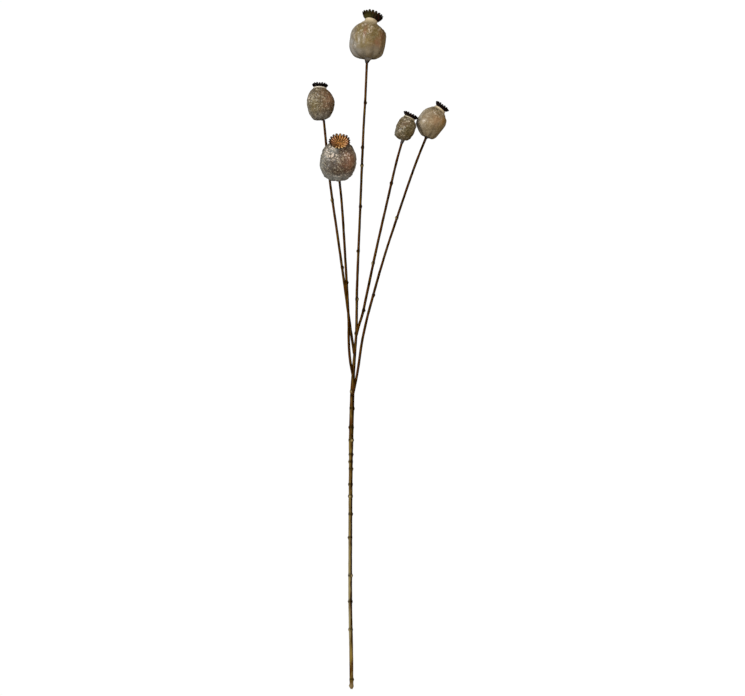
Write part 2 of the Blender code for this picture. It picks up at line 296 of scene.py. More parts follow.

# %% [markdown]
# ## The stem's routes
# A branched stem isn't straight anywhere. Each strand follows a short list of given points, and a
# Catmull-Rom curve runs smoothly through them. The top branch is the main stem carried on, and the
# other four start inside it. Leaf scars are given by their distance along each strand.

# %% Routes and leaf scars in millimetres
ROUTES = {
    "main": [
        (-29.0, -376.5, 2.55), (-29.4, -335.0, 3.1), (-30.4, -278.0, 4.15), (-30.3, -198.0, 5.8),
        (-29.6, -112.0, 7.4), (-28.6, -64.0, 8.4), (-27.0, -27.0, 9.5), (-25.3, -4.0, 10.2),
        (-23.7, 19.0, 11.0), (-23.2, 46.0, 11.8), (-22.7, 74.0, 12.8), (-19.6, 148.0, 15.8),
        (-16.0, 235.0, 19.6), (-13.7, 276.0, 21.2), (-12.0, 314.2, 22.3),
    ],
    "left": [
        (-26.1, -5.0, 10.2), (-28.4, 11.0, 10.6), (-30.9, 28.0, 10.8), (-36.6, 70.0, 11.4),
        (-43.6, 120.0, 12.5), (-52.4, 182.0, 13.8), (-56.1, 218.0, 14.5), (-59.4, 251.9, 14.9),
    ],
    "front": [
        (-27.4, -30.0, 9.4), (-29.9, -16.5, 11.4), (-31.4, -3.0, 13.5), (-32.0, 14.0, 15.4),
        (-32.2, 34.0, 16.4), (-34.4, 76.0, 17.0), (-37.7, 133.0, 18.2), (-39.6, 160.0, 19.9),
        (-41.9, 184.2, 23.4),
    ],
    "small": [
        (-23.7, 15.0, 10.8), (-20.8, 26.0, 12.2), (-16.9, 38.5, 14.0), (-12.6, 58.0, 15.7),
        (-1.1, 112.0, 19.2), (11.5, 167.0, 22.8), (19.9, 203.0, 25.4), (26.1, 225.6, 26.6),
    ],
    "right": [
        (-27.4, -50.0, 8.8), (-23.3, -30.5, 9.6), (-20.6, -14.0, 10.3), (-18.2, 3.4, 11.0),
        (-14.3, 23.0, 11.7), (-8.6, 46.4, 12.4), (7.1, 101.5, 13.6), (28.0, 165.0, 14.7),
        (42.6, 206.5, 15.4), (52.9, 232.3, 15.7),
    ],
}
# the order sets which way a scar faces; the main strand's last one is the rim of its cut end
SCARS = {
    "main": [10.5, 66, 97, 126, 168, 194, 214, 227, 244, 252, 260, 276, 290, 311, 330, 394,
             432, 485, 534, 579, 599, 648, 3.4],
    "left": [96, 171],
    "front": [104],
    "small": [29, 82, 172],
    "right": [112, 201],
}
FORKS = [325.0, 346.0, 371.0, 394.0]


def stations(route, spacing):
    """Even steps along a route: their centres, directions and distances from its start."""
    path = smooth_rows(np.array(route), 1.0)
    reach = np.concatenate([[0.0], np.cumsum(np.linalg.norm(np.diff(path, axis=0), axis=1))])
    distance = np.linspace(0.0, reach[-1], math.ceil(reach[-1] / spacing) + 1)
    centre = np.stack([np.interp(distance, reach, path[:, part]) for part in range(3)], axis=1)
    return centre, unit(np.gradient(centre, axis=0)), distance


for name, route in ROUTES.items():
    print("strand", name, round(stations(route, 5.0)[2][-1]), "mm")

# %% [markdown]
# ## The stem's skin
# Dry poppy stalk is a hollow straw with long shallow ridges. Each fallen leaf left a scar: a raised
# ring, thickest on the side where the leaf sat, with a sharp lip and a groove above it. All of it is
# one formula for the radius. The ridges are noise stretched along the strand, a scar adds a smooth
# bump, and the main strand is rounded off where it was cut.

# %% Shape one strand
CUT_RADIUS, THICK_RADIUS, BRANCH_RADIUS, TIP_RADIUS = 2.15, 2.55, 1.5, 1.35
THICK_FROM, THICK_TO, THICK_BLEND = 270.0, 306.0, 14.0
BRANCH_FROM, TIP_LENGTH = 395.0, 240.0
SCAR_HEIGHT, SCAR_HALF_LENGTH, SCAR_EVEN_SHARE = 0.85, 2.6, 0.62
SCAR_TURN = math.radians(137.5)
RIDGE_WIDTH, RIDGE_LENGTH, RIDGE_HEIGHT = 0.75, 11.0, 0.11
KNOB_SIZE, KNOB_HEIGHT = 2.6, 0.07
LIP_HEIGHT, LIP_AT, LIP_WIDTH = 0.2, 0.15, 0.16
GROOVE_SHARE, GROOVE_AT, GROOVE_WIDTH = 0.8, 0.62, 0.14
LUMP_SIZE, LUMP_SHARE = 0.7, 0.35
END_SHARE, END_ROUND = 0.62, 2.4
STEM_SPACING = 0.85
STEM_POINTS_AROUND = 32


def strand_radius(name, distance):
    """Radius of a strand between its scars."""
    start = BRANCH_FROM if name == "main" else 0.0
    branch = BRANCH_RADIUS + (TIP_RADIUS - BRANCH_RADIUS) * ease(distance, start, start + TIP_LENGTH)
    if name != "main":
        return branch
    thick = ease(distance, THICK_FROM - THICK_BLEND, THICK_FROM)
    below = CUT_RADIUS + (THICK_RADIUS - CUT_RADIUS) * thick
    return below + (branch - below) * ease(distance, THICK_TO, BRANCH_FROM)


def strand(name):
    """One strand of the stem as a closed tube with ridges and leaf scars."""
    centre, axis, distance = stations(ROUTES[name], STEM_SPACING)
    angle = (np.arange(STEM_POINTS_AROUND) + 0.5) * math.tau / STEM_POINTS_AROUND
    base = strand_radius(name, distance)[:, None]
    seed = 1 + list(ROUTES).index(name)
    spot = np.stack(np.broadcast_arrays(base * np.cos(angle) / RIDGE_WIDTH,
                                        base * np.sin(angle) / RIDGE_WIDTH,
                                        distance[:, None] / RIDGE_LENGTH), axis=-1)
    ridges = rough(spot, 1.0, seed) + 0.5 * rough(spot, 0.45, seed + 9)
    knobs = rough(spot * (1.0, 1.0, 4.0), KNOB_SIZE, seed + 4)
    radius = base + RIDGE_HEIGHT * ridges + KNOB_HEIGHT * knobs
    for number, scar in enumerate(SCARS[name]):
        reach = (distance[:, None] - scar) / SCAR_HALF_LENGTH
        bump = np.clip(1 - reach ** 2, 0.0, 1.0) ** 2
        lip = bell(reach, LIP_AT, LIP_WIDTH) - GROOVE_SHARE * bell(reach, GROOVE_AT, GROOVE_WIDTH)
        faced = SCAR_EVEN_SHARE + (1 - SCAR_EVEN_SHARE) * np.cos(angle - number * SCAR_TURN)
        round_scar = np.stack(np.broadcast_arrays(np.cos(angle), np.sin(angle), reach), axis=-1)
        lumps = 1 + LUMP_SHARE * rough(round_scar, LUMP_SIZE, seed + number)
        radius = radius + (SCAR_HEIGHT * bump + LIP_HEIGHT * lip) * faced * lumps
    if name == "main":
        radius = radius * (END_SHARE + (1 - END_SHARE) * ease(distance, 0.0, END_ROUND))[:, None]
    return closed_piece(f"strand_{name}", rows_round(centre, axis, angle, radius), {})


strands = {name: strand(name) for name in ROUTES}
print("strands with", sum(len(piece.data.polygons) for piece in strands.values()), "faces")

# %% [markdown]
# ## One stem from five strands
# Strands that only cross leave walls inside each other. A Boolean union melts them into one closed
# skin, as the real fork is. The Manifold solver is fast and only needs closed meshes, which these
# are. Afterwards each point looks up its nearest strand to learn how far up the stem it sits.

# %% Join the strands and mark their points
def joined(first, others):
    """The union of closed pieces, as one mesh object; the parts are removed."""
    group = bpy.data.collections.new("parts")
    for other in others:
        bpy.context.scene.collection.objects.unlink(other)
        group.objects.link(other)
    bpy.context.scene.collection.children.link(group)
    union = first.modifiers.new("union", "BOOLEAN")
    union.operation = "UNION"
    union.operand_type = "COLLECTION"
    union.collection = group
    union.solver = "MANIFOLD"
    graph = bpy.context.evaluated_depsgraph_get()
    mesh = bpy.data.meshes.new_from_object(first.evaluated_get(graph))
    first.modifiers.clear()
    first.data = mesh
    for other in others:
        bpy.data.objects.remove(other)
    bpy.data.collections.remove(group)
    return first


def read_points(mesh):
    """A mesh's points in millimetres."""
    flat = np.empty(len(mesh.vertices) * 3)
    mesh.vertices.foreach_get("co", flat)
    return flat.reshape(-1, 3) / MM


stalk = joined(strands["main"], [strands[name] for name in ROUTES if name != "main"])
stalk.name = "stalk"
stalk.data.shade_smooth()
print("stalk has", len(stalk.data.polygons), "faces")

# %% [markdown]
# The straw's colour depends on the place, so each point gets a few marks: how young the wood is,
# from 0 at the cut end to 1 on the youngest branches, how far the sun has bleached it, kept to the
# left side of each strand as painted light, how near a scar's dark ring and its pale face are, how
# far it lies on the right side of its strand, which is painted darker as shade with stain noise mixed
# in, and how near the cut is. Most are worked out for each millimetre of a strand, and a point takes
# the nearest.

# %% Mark age, scars and the cut end
from mathutils.kdtree import KDTree

YOUNG_FROM, YOUNG_TO = 280.0, 335.0
YOUNG_SHARE = {"main": 0.75, "left": 0.85, "front": 1.0, "small": 1.0, "right": 1.0}
BROWN_TO, BLEACHED_FROM, BLEACHED_TO, FRESH_FROM = 38.0, 66.0, 110.0, 250.0
RING_AT, RING_BLUR, FACE_BLUR = 0.6, 1.7, 1.05
FOOT_STAIN_AND_SHADE = 0.3
STAIN_AND_SHADE_NOISE, STAIN_AND_SHADE_SIZE, STAIN_AND_SHADE_STRETCH = 0.45, 1.3, (1.0, 0.12, 1.0)
BROAD_STAIN_AND_SHADE_NOISE, BROAD_STAIN_AND_SHADE_SIZE = 0.2, 6.0
CUT_FACE_SHARE, CUT_RIM_SHARE = 0.5, 0.45


def tree_of(places):
    """A tree that finds the nearest of many places."""
    tree = KDTree(len(places))
    for number, place in enumerate(places):
        tree.insert(place, number)
    tree.balance()
    return tree


places, youth, bleach, stain_and_shade_share, ring_gap, faces = [], [], [], [], [], []
for name, route in ROUTES.items():
    centre, axis, distance = stations(route, 1.0)
    places += centre.tolist()
    grown = ease(distance, YOUNG_FROM, YOUNG_TO) if name == "main" else np.ones(len(distance))
    youth += (YOUNG_SHARE[name] * grown).tolist()
    foot = ease(distance, BROWN_TO, BLEACHED_FROM) if name == "main" else np.ones(len(distance))
    stain_and_shade_share += (FOOT_STAIN_AND_SHADE + (1 - FOOT_STAIN_AND_SHADE) * foot).tolist()
    bleach += (foot * (1 - ease(distance, BLEACHED_TO, FRESH_FROM)) * (name == "main")).tolist()
    rings = np.array(SCARS[name] + (FORKS if name == "main" else []))
    gaps = distance[:, None] - rings
    ring_gap += gaps[np.arange(len(distance)), np.abs(gaps).argmin(axis=1)].tolist()
    for number, scar in enumerate(SCARS[name]):
        at = np.abs(distance - scar).argmin()
        turn = np.array([number * SCAR_TURN])
        reach = np.full((1, 1), strand_radius(name, scar) + SCAR_HEIGHT)
        faces.append(rows_round(centre[at][None], axis[at][None], turn, reach)[0, 0].tolist())
points = read_points(stalk.data)
place_tree, face_tree = tree_of(places), tree_of(faces)
nearest = np.array([place_tree.find(point)[1] for point in points.tolist()])
face_gap = np.array([face_tree.find(point)[2] for point in points.tolist()])
# how far a point lies on the right side of its strand: that side is painted darker as shade, with stain noise
# mixed in
aside = unit(points - np.array(places)[nearest])[:, 0]
stain_and_shade = aside + STAIN_AND_SHADE_NOISE * rough(points * STAIN_AND_SHADE_STRETCH, STAIN_AND_SHADE_SIZE, 31)
stain_and_shade = stain_and_shade + BROAD_STAIN_AND_SHADE_NOISE * rough(points, BROAD_STAIN_AND_SHADE_SIZE, 32)
write_mark(stalk.data, "young", np.array(youth)[nearest])
# bleach low on the stem, shown only on the left side of each strand as painted light
write_mark(stalk.data, "bleached_and_lit", np.array(bleach)[nearest] * (1 - ease(stain_and_shade, -0.7, 0.3)))
write_mark(stalk.data, "scar", bell(np.array(ring_gap)[nearest], RING_AT, RING_BLUR))
write_mark(stalk.data, "face", bell(face_gap, 0.0, FACE_BLUR))
write_mark(stalk.data, "stain_and_shade", ease(stain_and_shade, -0.05, 0.55) * np.array(stain_and_shade_share)[nearest])
from_cut = points[:, 1] - ROUTES["main"][0][1]
cut_face, cut_rim = 1 - ease(from_cut, 0.02, 0.25), 1 - ease(from_cut, 4.0, 9.0)
write_mark(stalk.data, "cut", CUT_FACE_SHARE * cut_face + CUT_RIM_SHARE * cut_rim)
print("marked", len(points), "points of the stalk")

# %% [markdown]
# ## Dry straw
# The stalk is dead plant fibre: olive tan where the wax is left, with long brown streaks where it
# weathered, bleached low on the stem and nearly black round the scars. The right side of each strand
# is painted darker as shade, and the bleached tone is kept to the left side as painted light.
# Streaks are noise stretched fourteen times along the stem, which here runs close to the Y axis.
# Such fibre is so dull that its specular level is zero. Any gloss would turn the edges of the thin
# branches grey.

# %% Straw material
STRAW_TONES = dict(old="8e763c", old_streak="4c300a", rust="522e12", bleached_and_lit="a89c70", young="5e3c10",
                   young_streak="1a0c00", stain_and_shade="201001", scar="140801", face="ccb47c", cut="b49b6c")
STRAW_MARKS = ("young", "bleached_and_lit", "stain_and_shade", "scar", "face", "cut")
STREAK_WIDTH, WEATHER_SIZE, FIBRE_WIDTH = 0.0011, 0.014, 0.0004
STREAK_SQUEEZE = (1.0, 0.07, 1.0)
STREAKS_SHOWN = ("streaks", 0.42, 0.60, 1.0)

straw, tree = blank_material("poppy_straw_dried")
place = add(tree, "ShaderNodeTexCoord", {}).outputs["Object"]
along = add(tree, "ShaderNodeMapping", {"Vector": place, "Scale": STREAK_SQUEEZE}).outputs["Vector"]
sources = {label: add(tree, "ShaderNodeAttribute", {}, attribute_name=label).outputs["Fac"]
           for label in STRAW_MARKS}
for label, vector, size, detail in (("streaks", along, STREAK_WIDTH, 4.0),
                                    ("weather", place, WEATHER_SIZE, 3.0),
                                    ("fibres", along, FIBRE_WIDTH, 2.0)):
    sources[label] = add(tree, "ShaderNodeTexNoise", {"Vector": vector, "Scale": 1 / size,
                                                      "Detail": detail}).outputs["Fac"]
tones = {key: linear(code) for key, code in STRAW_TONES.items()}
tones["branch"] = paint(tree, tones, sources, "young", [("young_streak", *STREAKS_SHOWN)])
colour = paint(tree, tones, sources, "old", [
    ("old_streak", *STREAKS_SHOWN),
    ("branch", "young", 0.0, 1.0, 1.0),
    ("rust", "weather", 0.46, 0.62, 0.8),
    # real bleach low on the stem, kept to the left side as painted light
    ("bleached_and_lit", "bleached_and_lit", 0.0, 1.0, 0.8),
    # painted shade on the right side of each strand, with stain noise mixed in
    ("stain_and_shade", "stain_and_shade", 0.0, 1.0, 0.92),
    ("scar", "scar", 0.0, 1.0, 0.84),
    ("face", "face", 0.0, 1.0, 0.85),
    ("cut", "cut", 0.0, 1.0, 1.0),
])
grain = add(tree, "ShaderNodeBump", {"Height": sources["fibres"], "Strength": 0.5,
                                     "Distance": 0.0001}).outputs["Normal"]
shader = add(tree, "ShaderNodeBsdfPrincipled", {"Base Color": colour, "Roughness": 0.62,
                                                "Specular IOR Level": 0.0, "Normal": grain})
add(tree, "ShaderNodeOutputMaterial", {"Surface": shader.outputs["BSDF"]})
stalk.data.materials.clear()
stalk.data.materials.append(straw)
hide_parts("stem")
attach(stalk, "root")
print("straw material on", stalk.name)

# %% [markdown]
# ## The seed heads
# Each head is described by where its neck meets the stem, the middle of its foot and of the collar
# under its crown, which way the sections lean between them, and an outline of half width against
# height. These are the sizes that the model was built from, so the finer skin keeps its form.

# %% Sizes of the five heads
HEADS = {
    "top": dict(
        joint=(-12.0, 314.2, 22.3), foot=(-10.9, 319.0, 22.2), collar=(-7.6, 360.0, 18.7),
        foot_lean=(2, 0), belly_lean=(-8, -2), crown_lean=(15, -20), bow=-1.9, width=40.1,
        outline=[(0.41, 0.0), (0.70, 0.07), (0.92, 0.22), (1.0, 0.42), (0.97, 0.62),
                 (0.88, 0.74), (0.69, 0.84), (0.48, 0.90), (0.39, 0.95), (0.34, 1.0)],
        crown_width=24.0, crown_height=7.0, notch=0.24, teeth=18,
    ),
    "left": dict(
        joint=(-59.4, 251.9, 14.9), foot=(-62.4, 252.6, 14.8), collar=(-63.9, 285.9, 14.4),
        foot_lean=(-7, 0), belly_lean=(-3, 0), crown_lean=(3, -14), bow=0.3, width=29.9,
        outline=[(0.31, 0.0), (0.59, 0.06), (0.87, 0.24), (0.98, 0.44), (1.0, 0.62),
                 (0.87, 0.80), (0.69, 0.93), (0.49, 1.0)],
        crown_width=18.0, crown_height=4.0, notch=0.42, teeth=18,
    ),
    "front": dict(
        joint=(-41.9, 184.2, 23.4), foot=(-43.8, 187.0, 25.2), collar=(-41.6, 221.8, 45.4),
        foot_lean=(0, 27), belly_lean=(-2, 31), crown_lean=(1, 50), bow=-0.8, width=39.0,
        outline=[(0.36, 0.0), (0.65, 0.07), (0.89, 0.23), (1.0, 0.45), (0.98, 0.63),
                 (0.88, 0.79), (0.65, 0.92), (0.39, 1.0)],
        crown_width=23.8, crown_height=4.8, notch=0.42, teeth=18,
    ),
    "small": dict(
        joint=(26.1, 225.6, 26.6), foot=(27.7, 229.3, 26.8), collar=(34.1, 252.1, 26.6),
        foot_lean=(10, 2), belly_lean=(-12, 1), crown_lean=(26, -6), bow=-0.6, width=23.0,
        outline=[(0.38, 0.0), (0.65, 0.10), (0.91, 0.27), (1.0, 0.45), (0.94, 0.65),
                 (0.82, 0.82), (0.72, 0.93), (0.57, 1.0)],
        crown_width=18.2, crown_height=3.8, notch=0.42, teeth=18,
    ),
    "right": dict(
        joint=(52.9, 232.3, 15.7), foot=(54.2, 233.4, 15.6), collar=(67.8, 263.2, 15.3),
        foot_lean=(21, 0), belly_lean=(9, 0), crown_lean=(37, -7), bow=-2.5, width=32.0,
        outline=[(0.38, 0.0), (0.57, 0.08), (0.79, 0.22), (1.0, 0.44), (0.95, 0.61),
                 (0.83, 0.79), (0.61, 0.92), (0.42, 1.0)],
        crown_width=18.0, crown_height=4.3, notch=0.42, teeth=18,
    ),
}
print("heads:", ", ".join(HEADS))

# %% [markdown]
# ## Pods
# A ripe pod is a paper-thin barrel. Soft ribs run from foot to crown where its chambers are walled
# off, the foot puckers into lobes round a short neck, and drying pulls the skin into wrinkles. The
# barrel starts as rings on a gently bent axis. The ribs and lobes are waves in the rings' radius.

# %% Rings of one pod
SIDES_PER_RIB = 4
RIB_DEPTH, FOOT_LOBE_DEPTH, FOOT_LOBE_END = 0.035, 0.11, 0.22
BELLY_HEIGHT, NECK_RADIUS, NECK_FLARE = 0.45, 1.75, 0.52
RECESS_RADIUS, RECESS_DEPTH = 0.66, 0.16
POD_HEIGHTS = [0.0, 0.035, 0.09, 0.17, 0.28, 0.40, 0.53, 0.66, 0.78, 0.88, 0.95, 1.0]
COLLAR_LIP, COLLAR_HEIGHT, GAP = 0.15, 1.3, 0.3
WAIST_SHARE, RIB_POWER = 2.15, 0.6
RIB_SHOWN = {"top": 0.5, "left": 0.15, "front": 0.8, "small": 0.5, "right": 0.3}


def direction(lean):
    """The direction of a lean: degrees from +Y towards +X, and degrees up from the table."""
    right, up = (math.radians(angle) for angle in lean)
    return np.array([math.sin(right) * math.cos(up), math.cos(right) * math.cos(up), math.sin(up)])


def section(head, height):
    """Centre and direction of a pod's section at a share of its height."""
    foot, collar = np.array(head["foot"]), np.array(head["collar"])
    aside = unit(np.cross(collar - foot, (0.0, 0.0, 1.0)))
    centre = foot + (collar - foot) * height + aside * head["bow"] * 4 * height * (1 - height)
    if height < BELLY_HEIGHT:
        start, end, part = head["foot_lean"], head["belly_lean"], height / BELLY_HEIGHT
    else:
        start, end = head["belly_lean"], head["crown_lean"]
        part = (height - BELLY_HEIGHT) / (1 - BELLY_HEIGHT)
    return centre, unit(direction(start) * (1 - part) + direction(end) * part)


def pod_rings(name, around):
    """A pod's rings with each one's share of the height, and how the ribs rise round a ring."""
    head = HEADS[name]
    half = head["width"] / 2
    ribs = head["teeth"] // 2
    angle = np.arange(around) * math.tau / around
    turn = ribs * (angle - math.tau * 0.5 / (ribs * SIDES_PER_RIB))
    uneven = 0.18 * np.sin(2 * angle + half) + 0.12 * np.sin(3 * angle + 2 * half)
    wave = 2 * (np.cos((turn + uneven) / 2) ** 2 + 0.01) ** RIB_POWER - 1
    neck_axis = stations(ROUTES["main" if name == "top" else name], 2.0)[1][-1]
    foot, foot_axis = section(head, 0.0)
    foot_radius = half * head["outline"][0][0]
    neck = np.array(head["joint"])
    flat = np.ones(around)
    rows = [
        (-0.5, neck, neck_axis, flat * NECK_RADIUS),
        (-0.3, (neck + foot) / 2, unit(neck_axis + foot_axis),
         flat * (NECK_RADIUS + foot_radius * NECK_FLARE) / WAIST_SHARE),
        (-0.15, foot, foot_axis, flat * foot_radius * NECK_FLARE),
        (-0.05, foot + foot_axis * foot_radius * RECESS_DEPTH, foot_axis,
         flat * foot_radius * RECESS_RADIUS),
    ]
    outline = smooth_rows(np.array(head["outline"]), 0.01)
    for height in POD_HEIGHTS:
        centre, axis = section(head, height)
        radius = half * np.interp(height, outline[:, 1], outline[:, 0])
        lobes = FOOT_LOBE_DEPTH * (1 - ease(height, 0.0, FOOT_LOBE_END)) * ease(height, -0.02, 0.04)
        depth = lobes + RIB_DEPTH * RIB_SHOWN[name] * (1 - ease(height, 0.8, 1.0))
        rows.append((height, centre, axis, radius * (1 + depth * wave)))
    collar, axis = section(head, 1.0)
    lip = half * head["outline"][-1][0] + COLLAR_LIP
    for height, rise in ((1.05, COLLAR_HEIGHT / 2), (1.1, COLLAR_HEIGHT)):
        rows.append((height, collar + axis * rise, axis, flat * lip))
    height, centre, axis, radius = (np.array(column) for column in zip(*rows))
    sheet = rows_round(centre, axis, angle, radius)
    heights = np.broadcast_to(height[:, None, None], (*sheet.shape[:2], 1))
    return np.concatenate([sheet, heights], axis=2), np.cos(turn + uneven)


print("a pod has", len(POD_HEIGHTS) + 6, "rings")

# %% [markdown]
# ## Wrinkles
# The rings become a fine sheet, and each point then moves along its own normal. Broad dents come
# first, then a net of worm-like wrinkles where one noise crosses zero, then small pimples and grain.
# The numbers differ from pod to pod: the front one is netted all over, the top one hardly at all.
# The same step marks painted shade in the creases, pale painted highlights on the pimples and in
# patches, and where the skin is grey with bloom and painted sheen, rusty, mustard, or dusty with
# painted shade.

# %% Wrinkle the pods
POD_DETAIL = {
    "top": dict(around=320, spacing=0.28, dents=0.50, net=0.13, net_size=2.8, fine=0.3, stretch=0.45,
                pimples=0.40, smooth=(-1.0, 0.45), seed=1),
    "left": dict(around=288, spacing=0.26, dents=0.30, net=0.42, net_size=2.2, fine=0.45, stretch=0.8,
                 pimples=0.10, smooth=(-1.0, 0.12), seed=2),
    "front": dict(around=320, spacing=0.28, dents=0.45, net=0.52, net_size=3.7, fine=0.22, stretch=0.65,
                  pimples=0.20, smooth=(-1.0, -0.5), seed=3),
    "small": dict(around=240, spacing=0.24, dents=0.40, net=0.38, net_size=2.6, fine=0.3, stretch=0.6,
                  pimples=0.30, smooth=(-1.0, -0.5), seed=4),
    "right": dict(around=288, spacing=0.26, dents=0.30, net=0.34, net_size=2.4, fine=0.4, stretch=0.8,
                  pimples=0.24, smooth=(-1.0, 0.62), seed=5),
}
DENT_SIZE, PIMPLE_SIZE, GRAIN_SIZE, GRAIN_HEIGHT = 9.0, 2.1, 1.1, 0.05
SMOOTH_SHARE = 0.8
WRINKLE_WIDTH, FINE_WRINKLE_WIDTH, FINE_NET_SHARE = 0.17, 0.16, 0.52
TINT_BLUR, TINT_SPECKS, HIGHLIGHT_BREAK_SIZE = 5.0, 1.6, 1.8
# angle and height of each tinted patch, then how wide it is in degrees and how tall
# the grey patches are waxy bloom and also painted sheen, mostly on the left edges and rims
TINTS = {
    "top": dict(bloom_and_sheen=[(172, 0.45, 36, 0.4), (140, 0.2, 30, 0.2)],
                dust_and_shade=[(90, 0.04, 130, 0.2), (70, 0.16, 50, 0.14)],
                rust=[(34, 0.54, 15, 0.18), (54, 0.34, 16, 0.10), (100, 0.60, 6, 0.16)],
                mustard=[(64, 0.52, 18, 0.22), (104, 0.34, 20, 0.14), (118, 0.58, 16, 0.2)],
                highlight_and_fleck=[(108, 0.77, 8, 0.045), (78, 0.72, 7, 0.04), (84, 0.61, 6, 0.03), (49, 0.64, 6, 0.035),
                      (133, 0.57, 8, 0.05), (135, 0.34, 7, 0.05), (122, 0.87, 10, 0.03)]),
    "left": dict(bloom_and_sheen=[(172, 0.4, 34, 0.5)], dust_and_shade=[(90, 0.02, 130, 0.16)], rust=[(48, 0.62, 34, 0.30)],
                 mustard=[(118, 0.48, 36, 0.25)], highlight_and_fleck=[(142, 0.66, 12, 0.10)]),
    "front": dict(bloom_and_sheen=[(165, 0.5, 38, 0.5), (90, 0.19, 90, 0.13), (130, 1.0, 40, 0.06), (4, 0.4, 16, 0.4)],
                  dust_and_shade=[(90, 0.05, 130, 0.2)], rust=[(42, 0.72, 32, 0.30)],
                  mustard=[(92, 0.58, 40, 0.22)],
                  highlight_and_fleck=[(128, 0.90, 22, 0.09), (170, 0.93, 14, 0.08), (104, 0.88, 13, 0.06),
                        (152, 0.95, 22, 0.10), (60, 0.93, 8, 0.07), (44, 0.88, 7, 0.08),
                        (80, 0.28, 24, 0.03)]),
    "small": dict(bloom_and_sheen=[(170, 0.3, 32, 0.3)], dust_and_shade=[(90, 0.02, 100, 0.12), (4, 0.55, 26, 0.4)],
                  rust=[(104, 0.70, 26, 0.14)],
                  mustard=[(72, 0.32, 40, 0.26), (50, 0.6, 14, 0.3)],
                  highlight_and_fleck=[(96, 0.93, 9, 0.03), (82, 0.84, 6, 0.028), (118, 0.40, 6, 0.03)]),
    "right": dict(bloom_and_sheen=[(168, 0.42, 44, 0.5)], dust_and_shade=[(90, 0.03, 110, 0.2), (118, 0.9, 26, 0.06)],
                  rust=[(70, 0.58, 32, 0.18)], mustard=[(42, 0.64, 9, 0.26)],
                  highlight_and_fleck=[(95, 0.80, 14, 0.04), (112, 0.47, 14, 0.018), (64, 0.86, 10, 0.04)]),
}


def tint(name, kind, angle, height, blur):
    """How much of one tint each point takes, from soft patches broken up by noise."""
    total = np.zeros(height.shape)
    for at, high, wide, tall in TINTS[name][kind]:
        aside = (1 - np.cos(angle - math.radians(at)))[None, :] / (1 - math.cos(math.radians(wide)))
        total += np.exp(-aside) * bell(height, high, tall)
    return np.clip(total * (1 + 0.6 * blur) + 0.12 * blur, 0.0, 1.0)


def pod(name):
    """One wrinkled pod, with marks for its creases, pimples and tints."""
    detail = POD_DETAIL[name]
    seed = detail["seed"]
    rings, wave = pod_rings(name, detail["around"])
    sheet = smooth_rows(rings, detail["spacing"])
    rows, height = sheet[..., :3], sheet[..., 3]
    angle = np.arange(detail["around"]) * math.tau / detail["around"]
    axis = unit(np.array(HEADS[name]["collar"]) - np.array(HEADS[name]["foot"]))
    spot = rows - (rows @ axis)[..., None] * axis * (1 - detail["stretch"])
    body = ease(height, 0.0, 0.12) * (1 - ease(height, 0.93, 1.03))
    first = rough(spot, detail["net_size"], seed)
    second = rough(spot, detail["net_size"] * FINE_NET_SHARE, seed + 20)
    wrinkles = bell(first, 0.0, WRINKLE_WIDTH) + detail["fine"] * bell(second, 0.0, FINE_WRINKLE_WIDTH)
    dents = rough(rows, DENT_SIZE, seed + 40)
    pimples = ease(rough(rows, PIMPLE_SIZE, seed + 80), 0.28, 0.6) * ease(height, 0.2, 0.6)
    grain = rough(rows, GRAIN_SIZE, seed + 60)
    low, high = detail["smooth"]
    netted = 1 - SMOOTH_SHARE * ease(height, low - 0.1, low) * (1 - ease(height, high - 0.06, high + 0.1))
    relief = (detail["dents"] * dents + detail["net"] * netted * (wrinkles - 0.5)
              + detail["pimples"] * netted * pimples)
    relief = relief * body + GRAIN_HEIGHT * grain * ease(height, -0.2, 0.1)
    rows = rows + relief[..., None] * outward(rows)
    rows[..., 2] = np.maximum(rows[..., 2], 0.0)
    # the crease mark is painted shade: darker between the raised wrinkles and in the valleys between ribs
    valley = np.clip(-wave[None, :], 0.0, 1.0) * ease(height, -0.1, 0.05) * (1 - ease(height, 0.5, 0.95))
    marks = {
        "crease_shade_and_blotch": np.clip((1 - wrinkles) * netted + 0.5 * valley, 0.0, 1.0),
        # the raised pimples, which are painted pale as highlights
        "pimple_highlight": pimples * body * netted,
        "height": height,
    }
    # the dust patches are dust and also painted shade: they darken the foot of the top, small and right pods
    # and the small pod's right edge
    for number, kind in enumerate(("bloom_and_sheen", "rust", "mustard", "dust_and_shade")):
        blur = rough(rows, TINT_BLUR, seed + 100 + number)
        blur = blur + 0.5 * rough(rows, TINT_SPECKS, seed + 110 + number)
        marks[kind] = tint(name, kind, angle, height, blur)
    # the pale patches are painted highlights on the shoulders that face the key lamp, broken up by noise
    highlight_breaks = ease(rough(rows, HIGHLIGHT_BREAK_SIZE, seed + 130) + 0.5 * second, -0.05, 0.3)
    marks["highlight_and_fleck"] = tint(name, "highlight_and_fleck", angle, height, np.zeros(height.shape)) * highlight_breaks
    return closed_piece(f"pod_{name}", rows, marks)


pods = {name: pod(name) for name in HEADS}
for name, piece in pods.items():
    print(piece.name, "faces", len(piece.data.polygons))

# %% [markdown]
# ## Dry husk
# The husk is parchment-like plant skin under a thin waxy bloom. The bloom turns it silver grey where
# nothing rubbed it off, and the grey is also painted sheen on the rims. Elsewhere the tan of dry
# tissue shows, with rust and mustard where it aged, painted shade in the creases and at some feet,
# pale painted highlights on pimples and shoulders, and fine dark and pale specks. Each tint is one mix
# on top of the last, driven by a mark on the mesh or by noise in millimetre sizes. Wax evens out the
# surface, so it is smoother than straw and throws small soft glints.

